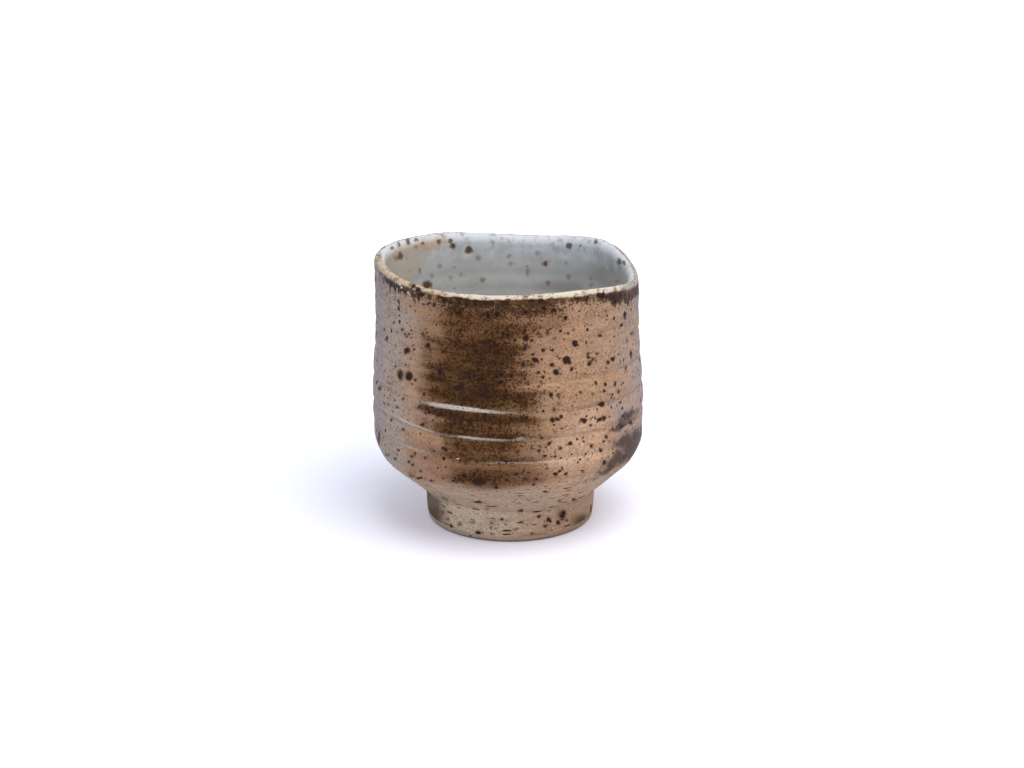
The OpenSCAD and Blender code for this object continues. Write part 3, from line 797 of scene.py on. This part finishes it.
class Nodes:
    """Builds the nodes of a material or of the world round its shader."""

    def __init__(self, item, shader):
        item.use_nodes = True
        self.item = item
        self.tree = item.node_tree
        self.shader = self.tree.nodes[shader]

    def add(self, kind, **settings):
        node = self.tree.nodes.new("ShaderNode" + kind)
        for name, value in settings.items():
            setattr(node, name, value)
        return node

    def put(self, value, socket):
        if isinstance(value, bpy.types.NodeSocket):
            self.tree.links.new(value, socket)
        elif isinstance(value, tuple) and socket.type == "RGBA":
            socket.default_value = (*value, 1)
        else:
            socket.default_value = value

    def fill(self, node, **values):
        """Sets inputs of a node by name, with spaces for the underscores."""
        for name, value in values.items():
            self.put(value, node.inputs[name.replace("_", " ")])

    def math(self, operation, *values):
        node = self.add("Math", operation=operation)
        for value, socket in zip(values, node.inputs):
            self.put(value, socket)
        return node.outputs[0]

    def times(self, product, *values):
        for value in values:
            product = self.math("MULTIPLY", product, value)
        return product

    def plus(self, total, *parts):
        """A value plus some parts, each (value, weight)."""
        for value, weight in parts:
            total = self.math("MULTIPLY_ADD", value, weight, total)
        return total

    def uneven(self, value, *textures):
        """A value with textures added, each (texture, amount) and level in the middle."""
        return self.plus(value, *((self.math("SUBTRACT", texture, 0.5), amount)
                                  for texture, amount in textures))

    def fade(self, value, low=0.0, high=1.0, to_low=0.0, to_high=1.0):
        node = self.add("MapRange", interpolation_type="SMOOTHSTEP")
        for given, socket in zip((value, low, high, to_low, to_high), node.inputs):
            self.put(given, socket)
        return node.outputs[0]

    def mix(self, factor, first, second, kind="MIX"):
        node = self.add("Mix", data_type="RGBA", blend_type=kind)
        self.put(factor, node.inputs[0])
        self.put(first, node.inputs[6])
        self.put(second, node.inputs[7])
        return node.outputs[2]


class Painter(Nodes):
    """Builds the nodes of one material, with textures in millimetres and tones of the mesh."""

    def __init__(self, name):
        super().__init__(bpy.data.materials.new(name), "Principled BSDF")
        self.mm = self.vector("SCALE", self.add("TexCoord").outputs["Object"], scale=1 / METRE)

    def vector(self, operation, first, second=None, scale=None):
        node = self.add("VectorMath", operation=operation)
        self.put(first, node.inputs[0])
        if second is not None:
            self.put(second, node.inputs[1])
        if scale is not None:
            self.fill(node, Scale=scale)
        return node.outputs["Vector"]

    def tone(self, name):
        return self.add("Attribute", attribute_name=name).outputs["Fac"]

    def cover(self, under, paint, tone, low, high, most, *textures):
        """Paint over a colour, from none where an uneven tone is low to most where it is high."""
        share = self.fade(self.uneven(self.tone(tone), *textures), low, high, 0.0, most)
        return self.mix(share, under, paint)

    def noise(self, size_mm, detail=3.0, roughness=0.55, where=None, output="Fac"):
        node = self.add("TexNoise")
        self.fill(node, Vector=where or self.mm, Scale=1 / size_mm, Detail=detail,
                  Roughness=roughness)
        return node.outputs[output]

    def specks(self, cell_mm, radius_mm, share, where, soft_mm=0.07):
        """1 in specks, one in a share of the cells, of uneven sizes up to a radius."""
        node = self.add("TexVoronoi")
        self.fill(node, Vector=where, Scale=1 / cell_mm)
        split = self.add("SeparateColor")
        self.put(node.outputs["Color"], split.inputs[0])
        chosen = self.fade(split.outputs[0], self.math("SUBTRACT", 1.0, share), 1.02)
        radius = self.plus(0.35 * radius_mm, (chosen, 0.65 * radius_mm))
        depth = self.plus(radius, (node.outputs["Distance"], -cell_mm))
        return self.times(self.fade(depth, -soft_mm, soft_mm), self.fade(chosen, 0.0, 0.02))

    def bump(self, height, strength, depth_mm):
        node = self.add("Bump")
        self.fill(node, Height=height, Strength=strength, Distance=depth_mm * METRE)
        self.fill(self.shader, Normal=node.outputs[0])


# Colours as seen in plain light, linear

TAN = (0.385, 0.236, 0.144)
WARM_TAN = (0.370, 0.216, 0.122)
ASH_GREY = (0.350, 0.276, 0.228)
# Painted sheen at the cup's seen edges
EDGE_SHEEN_GREY = (0.300, 0.240, 0.235)
UNDERSIDE = (0.425, 0.302, 0.204)
# Painted light on the right of the belly's underside
BELLY_PAINTED_LIGHT_TAN = (0.480, 0.305, 0.195)
RED_BROWN = (0.230, 0.118, 0.066)
BROWN = (0.120, 0.052, 0.016)
DARK_BROWN = (0.038, 0.013, 0.002)
BLOT = (0.016, 0.007, 0.003)
GOLDEN = (0.150, 0.082, 0.026)
GOLD_LINE = (0.300, 0.180, 0.075)
SMOKE_PURPLE = (0.058, 0.036, 0.033)
FOOT_GREY = (0.520, 0.405, 0.285)
FOOT_WARM = (0.420, 0.265, 0.165)
# Dark patches of the foot, and painted shade on its left side
FOOT_DARK_AND_SHADE = (0.065, 0.036, 0.023)
FOOT_SHADE = (0.20, 0.145, 0.095)
# Bare clay at the foot's base, made warmer as painted warm light bounced up from the floor
SKIRT_TAN_AND_BOUNCE = (0.47, 0.345, 0.235)
SKIRT_WARM_AND_BOUNCE = (0.38, 0.235, 0.145)
SPECK = (0.016, 0.008, 0.007)
PEPPER = (0.022, 0.009, 0.004)
INNER_SPECK = (0.050, 0.027, 0.012)
SOFT_SPECK = (0.018, 0.008, 0.006)
RUST = (0.175, 0.080, 0.032)
BAND_DARK = (0.024, 0.011, 0.005)
BAND_PURPLE = (0.048, 0.030, 0.030)
CREAM = (0.60, 0.545, 0.455)
OCHRE = (0.30, 0.190, 0.095)
LIP_WARM = (0.46, 0.345, 0.225)
LIP_GREY = (0.35, 0.34, 0.325)
LIP_OCHRE = (0.27, 0.215, 0.150)
LINER = (0.445, 0.452, 0.452)
LINER_DULL = (0.375, 0.378, 0.370)
LINER_TAN = (0.440, 0.385, 0.318)
LINER_WARM = (0.47, 0.33, 0.22)
LINER_DARK = (0.320, 0.315, 0.305)
# Partly painted light from the sky on the inner side of the lip
LIP_WHITE_AND_PAINTED_LIGHT = (0.56, 0.60, 0.64)
LIP_MOTTLE = (0.27, 0.25, 0.27)
PALE_LINE = (0.56, 0.51, 0.42)
# White of the chips, and of the painted glints
CHIP_AND_GLINT = (0.75, 0.74, 0.70)
LINER_SPECK = (0.15, 0.095, 0.06)
LINER_DUST = (0.15, 0.11, 0.08)
CLAY_TAN = (0.26, 0.17, 0.11)
CLAY_GREY = (0.19, 0.135, 0.10)
CLAY_DARK = (0.10, 0.07, 0.05)

# The specks are warped by noise of this size, by up to this much
WARP_MM = 1 / 0.7
WARP_REACH_MM = 0.7

# Scales that draw textures out round the cup, a little or a lot, or upright
FLAT = (0.06, 0.06, 1.0)
DASHED = (0.30, 0.30, 1.4)
UPRIGHT = (1.5, 1.5, 0.28)


def glaze_look(name):
    """The coats' one look, so that no seam shows. The tones of each mesh place its parts."""
    p = Painter(name)
    warp = p.noise(WARP_MM, 2, 0.5, output="Color")
    warped = p.vector("ADD", p.mm, p.vector("SCALE", warp, scale=WARP_REACH_MM))
    flat = p.vector("MULTIPLY", p.mm, FLAT)
    dashed = p.vector("MULTIPLY", warped, DASHED)
    upright = p.vector("MULTIPLY", warped, UPRIGHT)

    mottle = p.noise(9, 4)
    blotch = p.noise(2.6, 3)
    grain = p.noise(0.75, 4, 0.7)
    fine_grain = p.noise(0.3, 2)
    lines = p.noise(0.55, 3, 0.6, flat)
    wide_lines = p.noise(2.4, 3, 0.5, flat)
    drawn = p.noise(1.0, 3, 0.6, upright)
    outside = p.tone("outside")
    inside = p.tone("inside")

    # Ground colour of the outside
    colour = p.mix(p.fade(mottle, 0.35, 0.65), TAN, WARM_TAN)
    colour = p.cover(colour, RED_BROWN, "red", 0.1, 1.3, 0.8, (grain, 0.8))
    colour = p.cover(colour, ASH_GREY, "grey", 0.0, 1.0, 1.0, (mottle, 0.5))
    colour = p.cover(colour, UNDERSIDE, "low", 0.1, 0.9, 1.0, (mottle, 0.6))
    # Painted sheen along the cup's seen edges
    colour = p.cover(colour, EDGE_SHEEN_GREY, "edge_sheen", 0.1, 1.2, 0.75, (mottle, 0.8))
    # Painted light: the right of the belly's underside turns a lighter tan
    colour = p.cover(colour, BELLY_PAINTED_LIGHT_TAN, "belly_painted_light", 0.0, 1.0, 1.0, (mottle, 0.4))
    foot = p.cover(FOOT_GREY, FOOT_WARM, "foot_warm", 0.0, 1.0, 1.0, (mottle, 0.3))
    colour = p.mix(p.tone("foot"), colour, foot)
    shade = p.times(
        p.fade(lines, 0.25, 0.75, 0.88, 1.10), p.fade(wide_lines, 0.3, 0.7, 0.92, 1.07),
        p.fade(grain, 0.3, 0.7, 0.72, 1.26), p.fade(fine_grain, 0.25, 0.75, 0.84, 1.16),
        p.fade(blotch, 0.3, 0.7, 0.90, 1.09))
    colour = p.mix(1.0, colour, shade, "MULTIPLY")

    # The flash, grainy and drawn out round the cup where it fades, then smoke, and the foot's dark
    # patches with painted shade on its left side
    scorch = p.uneven(p.tone("scorch"), (grain, 0.9), (wide_lines, 0.55), (lines, 0.45),
                      (blotch, 0.45))
    colour = p.mix(p.fade(scorch, 0.0, 0.95), colour, BROWN)
    gold = p.tone("gold")
    gold_colour = p.mix(p.fade(gold, 1.0, 2.0), GOLDEN, GOLD_LINE)
    colour = p.mix(p.times(p.fade(gold), p.fade(grain, 0.3, 0.6), 0.8), colour, gold_colour)
    colour = p.mix(p.fade(scorch, 0.62, 1.50, 0.0, 0.96), colour, DARK_BROWN)
    blots = p.fade(p.uneven(p.noise(1.7, 4, 0.6), (lines, 0.35)), 0.52, 0.66, 0.0, 0.8)
    colour = p.mix(p.times(blots, p.fade(p.tone("scorch"), 0.45, 0.95)), colour, BLOT)
    # Dark patches on the foot, with painted shade on its left side
    colour = p.cover(colour, FOOT_DARK_AND_SHADE, "foot_dark_and_shade", 0.05, 1.05, 0.92, (grain, 0.7))
    colour = p.cover(colour, SMOKE_PURPLE, "smoke", 0.2, 0.9, 0.9, (grain, 0.8), (blotch, 0.7))

    # Pale lines
    pale = p.fade(p.uneven(p.tone("pale"), (grain, 0.5)), -0.30, 0.26)
    pale = p.times(pale, p.tone("pale_strength"))
    colour = p.mix(pale, colour, PALE_LINE)

    # Specks: dots, a few larger ones, dashes under the belly, and fine dust and pepper
    many, dense, low = p.tone("many"), p.tone("dense"), p.tone("low")
    small = p.specks(1.2, 0.36, p.times(many, 0.42), warped, 0.06)
    medium = p.specks(2.5, 0.62, p.times(many, 0.52), warped)
    dash = p.specks(1.3, 0.48, 0.42, dashed, 0.1)
    dust = p.specks(0.7, 0.25, p.times(dense, 0.9), warped, 0.06)
    specks = p.times(p.math("MAXIMUM", small, medium), p.fade(low, 0.2, 0.8, 1.0, 0.6))
    specks = p.math("MAXIMUM", specks, p.times(dash, p.fade(low, 0.3, 0.8)))
    specks = p.math("MAXIMUM", p.times(specks, 0.92), p.times(dust, 0.75))
    specks = p.times(specks, outside)
    pepper = p.plus(p.uneven(p.noise(0.66, 2, 0.6), (blotch, 0.20)), (dense, 0.23))
    pepper = p.times(p.fade(pepper, 0.70, 0.78), 0.78, outside, p.fade(pale, 0.0, 0.6, 1.0, 0.15))

    # The liner, mottled on the inner side of the lip, and whiter and bluer there as painted light from
    # the sky
    liner = p.mix(p.fade(mottle, 0.35, 0.7, 0.0, 0.7), LINER, LINER_DULL)
    liner = p.cover(liner, LINER_DARK, "inner_dull", 0.1, 1.0, 1.0, (mottle, 0.6))
    mottled = p.fade(p.uneven(blotch, (grain, 0.5), (drawn, 0.7)), 0.50, 0.76, 0.0, 0.62)
    lip_white_and_painted_light = p.tone("lip_white_and_painted_light")
    liner = p.mix(p.times(lip_white_and_painted_light, 0.9), liner, p.mix(mottled, LIP_WHITE_AND_PAINTED_LIGHT, LIP_MOTTLE))
    liner = p.cover(liner, LINER_TAN, "inner_tan", 0.1, 0.9, 0.85, (mottle, 0.3))
    liner = p.cover(liner, LINER_WARM, "inner_warm", 0.1, 1.2, 0.8, (blotch, 0.9), (grain, 0.5))
    inner_specks = p.specks(3.2, 0.55, 0.22, warped, 0.14)
    inner_dust = p.specks(1.2, 0.30, p.plus(0.12, (lip_white_and_painted_light, 0.22)), warped, 0.12)
    liner = p.mix(p.times(inner_specks, 0.6), liner, LINER_SPECK)
    liner = p.mix(p.times(inner_dust, 0.45), liner, LINER_DUST)
    colour = p.mix(inside, colour, liner)

    # Cream on the lip, greyer at the sides, and the dark edge below it
    cream = p.mix(p.fade(p.uneven(grain, (blotch, 0.9)), 0.46, 0.66), CREAM, OCHRE)
    cream = p.cover(cream, LIP_WARM, "lip_warm", 0.2, 1.1, 0.85, (grain, 1.6))
    grey_lip = p.mix(p.fade(p.uneven(drawn, (blotch, 0.8)), 0.38, 0.66), LIP_GREY, LIP_OCHRE)
    cream = p.cover(cream, grey_lip, "lip_grey", 0.1, 0.9, 1.0, (blotch, 0.5))
    shown_cream = p.uneven(p.tone("cream"), (grain, 1.2), (blotch, 0.8))
    cream = p.mix(p.fade(shown_cream, 0.35, 0.85, 0.8, 0.0), cream, OCHRE)
    flaws = p.plus(p.uneven(fine_grain, (blotch, 1.0)), (p.tone("lip_warm"), 0.07))
    cream = p.mix(p.fade(flaws, 0.58, 0.74, 0.0, 0.8), cream, BAND_PURPLE)
    colour = p.mix(p.fade(shown_cream, 0.30, 0.60), colour, cream)
    streaky = p.tone("streaky")
    band = p.uneven(p.tone("band"), (grain, 1.3), (blotch, 1.3), (drawn, p.times(streaky, 1.6)))
    dark_edge = p.mix(streaky, BAND_DARK, BAND_PURPLE)
    colour = p.mix(p.fade(band, 0.28, 1.02, 0.0, 0.92), colour, dark_edge)

    # Specks and spots over all of it, softer and paler on the liner
    colour = p.mix(pepper, colour, PEPPER)
    colour = p.mix(specks, colour, SPECK)
    wobble = (grain, p.fade(inside, 0.0, 1.0, 0.8, 0.5))
    halo = p.fade(p.uneven(p.tone("rust_spot"), wobble), -0.4, 0.35)
    colour = p.mix(p.times(halo, p.plus(0.85, (inside, -0.20))), colour, RUST)
    soft_edge = p.fade(inside, 0.0, 1.0, -0.30, -0.55)
    soft = p.fade(p.uneven(p.tone("soft_spot"), wobble), soft_edge, 0.35)
    soft = p.times(soft, p.fade(inside, 0.0, 1.0, 0.82, 0.42))
    colour = p.mix(soft, colour, p.mix(inside, SOFT_SPECK, INNER_SPECK))
    spot = p.uneven(p.tone("dark_spot"), wobble)
    colour = p.mix(p.fade(spot, -0.4, 0.1, 0.0, 0.35), colour, RUST)
    spot_share = p.fade(spot, p.fade(inside, 0.0, 1.0, -0.20, -0.45), 0.25)
    spot_share = p.times(spot_share, p.plus(0.96, (inside, -0.22)))
    colour = p.mix(spot_share, colour, p.mix(inside, SPECK, INNER_SPECK))
    # White chips, and painted glints in pits
    colour = p.mix(p.fade(p.tone("chip_and_glint"), -0.05, 0.15), colour, CHIP_AND_GLINT)

    rough = p.fade(grain, 0.3, 0.7, 0.44, 0.60)
    rough = p.plus(rough, (inside, -0.12), (p.fade(scorch, 0.4, 1.0), -0.05))
    p.fill(p.shader, Base_Color=colour, Roughness=rough, Specular_IOR_Level=0.06)
    height = p.plus(p.times(grain, 0.40), (fine_grain, 0.15), (lines, 0.4),
                    (p.fade(spot, -0.1, 0.2), -0.5), (specks, -0.3))
    p.bump(height, 0.55, 0.12)
    return p.item


def stoneware_look():
    p = Painter("stoneware")
    grain = p.noise(0.8, 4, 0.65)
    colour = p.mix(p.fade(p.noise(7, 3), 0.3, 0.7), CLAY_TAN, CLAY_GREY)
    colour = p.mix(p.fade(grain, 0.35, 0.75, 0.0, 0.5), colour, CLAY_DARK)
    # Bare clay at the base, warmed as painted warm light bounced from the floor
    foot = p.mix(p.fade(p.tone("foot_warm")), SKIRT_TAN_AND_BOUNCE, SKIRT_WARM_AND_BOUNCE)
    foot = p.mix(p.fade(grain, 0.3, 0.7, 0.0, 0.5), foot, FOOT_SHADE)
    colour = p.mix(p.times(p.tone("skirt"), 0.9), colour, foot)
    colour = p.mix(p.specks(1.8, 0.4, 0.4, p.mm), colour, SPECK)
    p.fill(p.shader, Base_Color=colour, Roughness=0.82)
    p.bump(grain, 0.6, 0.15)
    return p.item


# Pieces

def thinned(rows, step):
    """Every so many rows, with the last one."""
    return np.unique(np.r_[rows[::step], rows[-1]])


def add_coat(name, node, first, last, hidden_step, rounded_start=False):
    """A coat of glaze: the side that shows, and a hidden side under the face of the clay."""
    spare = 3
    wide = np.arange(first - spare, min(last + spare, LAST_ROW) + 1)
    rows = np.arange(first, last + 1)
    wide_ground = Ground(wide, COLUMNS)
    wide_shown = wide_ground.raised(COAT_T)
    wide_tones = tones(wide_ground, wide_shown)
    kept = slice(spare, spare + len(rows))
    thickness = np.full((len(rows), 1), COAT_T)
    if rounded_start:
        thickness[:2, 0] = [0, 0.8 * COAT_T]
    shown = Ground(rows, COLUMNS).raised(thickness)
    hidden_rows = thinned(rows, hidden_step)[::-1]
    hidden = Ground(hidden_rows, COLUMNS).raised(-HIDDEN_DROP)
    normals = np.concatenate([grid_normals(wide_shown)[kept], grid_normals(hidden)])
    mesh = lathe_mesh(name, np.concatenate([shown, hidden]), normals, bands=2)
    for tone, values in wide_tones.items():
        give(mesh, tone, np.concatenate([values[kept], values[kept][hidden_rows - first]]))
    return add_piece(name, mesh, node, glaze_look(node))


def middle_ring(z, columns):
    a = np.arange(columns)[None] * 2 * np.pi / columns
    return place(MIDDLE_R, z + 0 * a, z + 0 * a, a)


def add_foot_clay(material):
    """The ring on the ground and the hollow in it, with the hidden clay under the coat."""
    ground = Ground(np.arange(BARE_ROW + 1), CLAY_COLUMNS)
    bare = ground.raised(0)
    hidden = Ground(np.arange(BARE_ROW, FOOT_TOP_ROW + 1), CLAY_COLUMNS).raised(-CLAY_INSET)
    top = middle_ring(FOOT_H - CLAY_INSET, CLAY_COLUMNS)
    mesh = lathe_mesh("foot_clay", np.concatenate([bare, hidden, top]))
    skirt = smooth((bare[:, :, 2] - 0.45) / 0.8) * (ground.rows >= GROUND_ROW)[:, None]
    for tone, values in {"skirt": skirt, "foot_warm": foot_warmth(ground)}.items():
        rest = np.zeros((len(hidden) + 1, CLAY_COLUMNS))
        give(mesh, tone, np.concatenate([values, rest]))
    return add_piece("foot_clay", mesh, "foot_ring", material)


def add_body_clay(material):
    """The thrown clay, all of it under the coats and on the foot."""
    rows = thinned(np.arange(FOOT_TOP_ROW, LAST_ROW + 1), 2)
    wall = Ground(rows, CLAY_COLUMNS).raised(-CLAY_INSET)
    mesh = lathe_mesh("body_clay", np.concatenate([middle_ring(FOOT_H, CLAY_COLUMNS), wall]))
    return add_piece("body_clay", mesh, "cup_body", material)


stoneware = stoneware_look()
add_coat("foot_coat", "foot_glaze", BARE_ROW, FOOT_TOP_ROW, 4, rounded_start=True)
add_coat("outer_coat", "outer_glaze", FOOT_TOP_ROW, SEAM_ROW, 8)
add_coat("liner_coat", "liner_glaze", SEAM_ROW, LAST_ROW, 4)
add_foot_clay(stoneware)
add_body_clay(stoneware)


# Floor, light and camera

FLOOR_COLOUR = (0.77, 0.80, 0.93)
# Pinker glow near the cup: painted warm light bounced off it
PAINTED_BOUNCE_NEAR = (0.99, 0.87, 0.86)
GLOW_FAR = (0.96, 0.97, 1.0)
SKY_AS_LIGHT = (0.87, 0.92, 1.0)
SKY_AS_SEEN = (0.98, 0.99, 1.0)
SKY_STRENGTH = 0.66
LAMP_AIM_M = (0, 0, 0.04)


def floor_look():
    """Pale floor. To the camera it is white, apart from the object's shadow. Near the cup its glow is
    weaker, painted shade that deepens the shadow there, and pinker, a painted warm bounce of light off
    the cup.
    """
    p = Painter("floor")
    p.fill(p.shader, Base_Color=FLOOR_COLOUR, Roughness=0.9, Specular_IOR_Level=0.2)
    from_middle = p.add("VectorMath", operation="LENGTH")
    p.put(p.mm, from_middle.inputs[0])
    distance = from_middle.outputs["Value"]
    # Weaker glow near the cup, painted shade round it; further off it keeps the floor white
    strength = p.fade(distance, 35.0, 300.0, 0.195, 0.54)
    strength = p.times(p.add("LightPath").outputs["Is Camera Ray"], strength)
    glow = p.add("Emission")
    p.fill(glow, Color=p.mix(p.fade(distance, 30.0, 75.0), PAINTED_BOUNCE_NEAR, GLOW_FAR), Strength=strength)
    both = p.add("AddShader")
    p.put(p.shader.outputs[0], both.inputs[0])
    p.put(glow.outputs[0], both.inputs[1])
    p.fill(p.tree.nodes["Material Output"], Surface=both.outputs[0])
    return p.item


def add_floor():
    half_m = 6.0
    corners = [(-half_m, -half_m, 0), (half_m, -half_m, 0), (half_m, half_m, 0), (-half_m, half_m, 0)]
    mesh = bpy.data.meshes.new("floor")
    mesh.from_pydata(corners, [], [(0, 1, 2, 3)])
    mesh.materials.append(floor_look())
    floor = add_item("floor", mesh)


def add_lamp(name, place_m, size_m, watts, colour):
    lamp = bpy.data.lights.new(name, "AREA")
    lamp.shape = "DISK"
    lamp.size = size_m
    lamp.energy = watts
    lamp.color = colour
    item = add_item(name, lamp)
    item.location = place_m
    way = Vector(LAMP_AIM_M) - Vector(place_m)
    item.rotation_euler = way.to_track_quat("-Z", "Y").to_euler()


def add_camera():
    camera = bpy.data.cameras.new("camera")
    camera.sensor_width = SENSOR_W
    camera.lens = FOCAL_PX * SENSOR_W / PICTURE_W
    camera.clip_end = 30
    item = add_item("camera", camera)
    item.location = Vector(CAMERA_AT * METRE)
    item.rotation_euler = (np.pi / 2 - CAMERA_PITCH, 0, 0)
    bpy.context.scene.camera = item


def set_world():
    """White to the camera and in gloss, and as a light a little softer and bluer."""
    world = bpy.data.worlds.new("world")
    bpy.context.scene.world = world
    sky = Nodes(world, "Background")
    ray = sky.add("LightPath").outputs
    seen = sky.math("MAXIMUM", ray["Is Camera Ray"], ray["Is Transmission Ray"])
    seen = sky.math("MAXIMUM", seen, ray["Is Glossy Ray"])
    sky.fill(sky.shader, Color=sky.mix(seen, SKY_AS_LIGHT, SKY_AS_SEEN),
             Strength=sky.fade(seen, 0.0, 1.0, SKY_STRENGTH, 1.0))


add_floor()
add_lamp("key", (0.26, -0.30, 0.86), 0.90, 8.0, (1.0, 0.93, 0.85))
add_lamp("fill", (-0.5, -0.6, 0.35), 0.6, 1.0, (0.84, 0.88, 1.0))
add_camera()
set_world()
bpy.context.scene.view_settings.view_transform = "Standard"
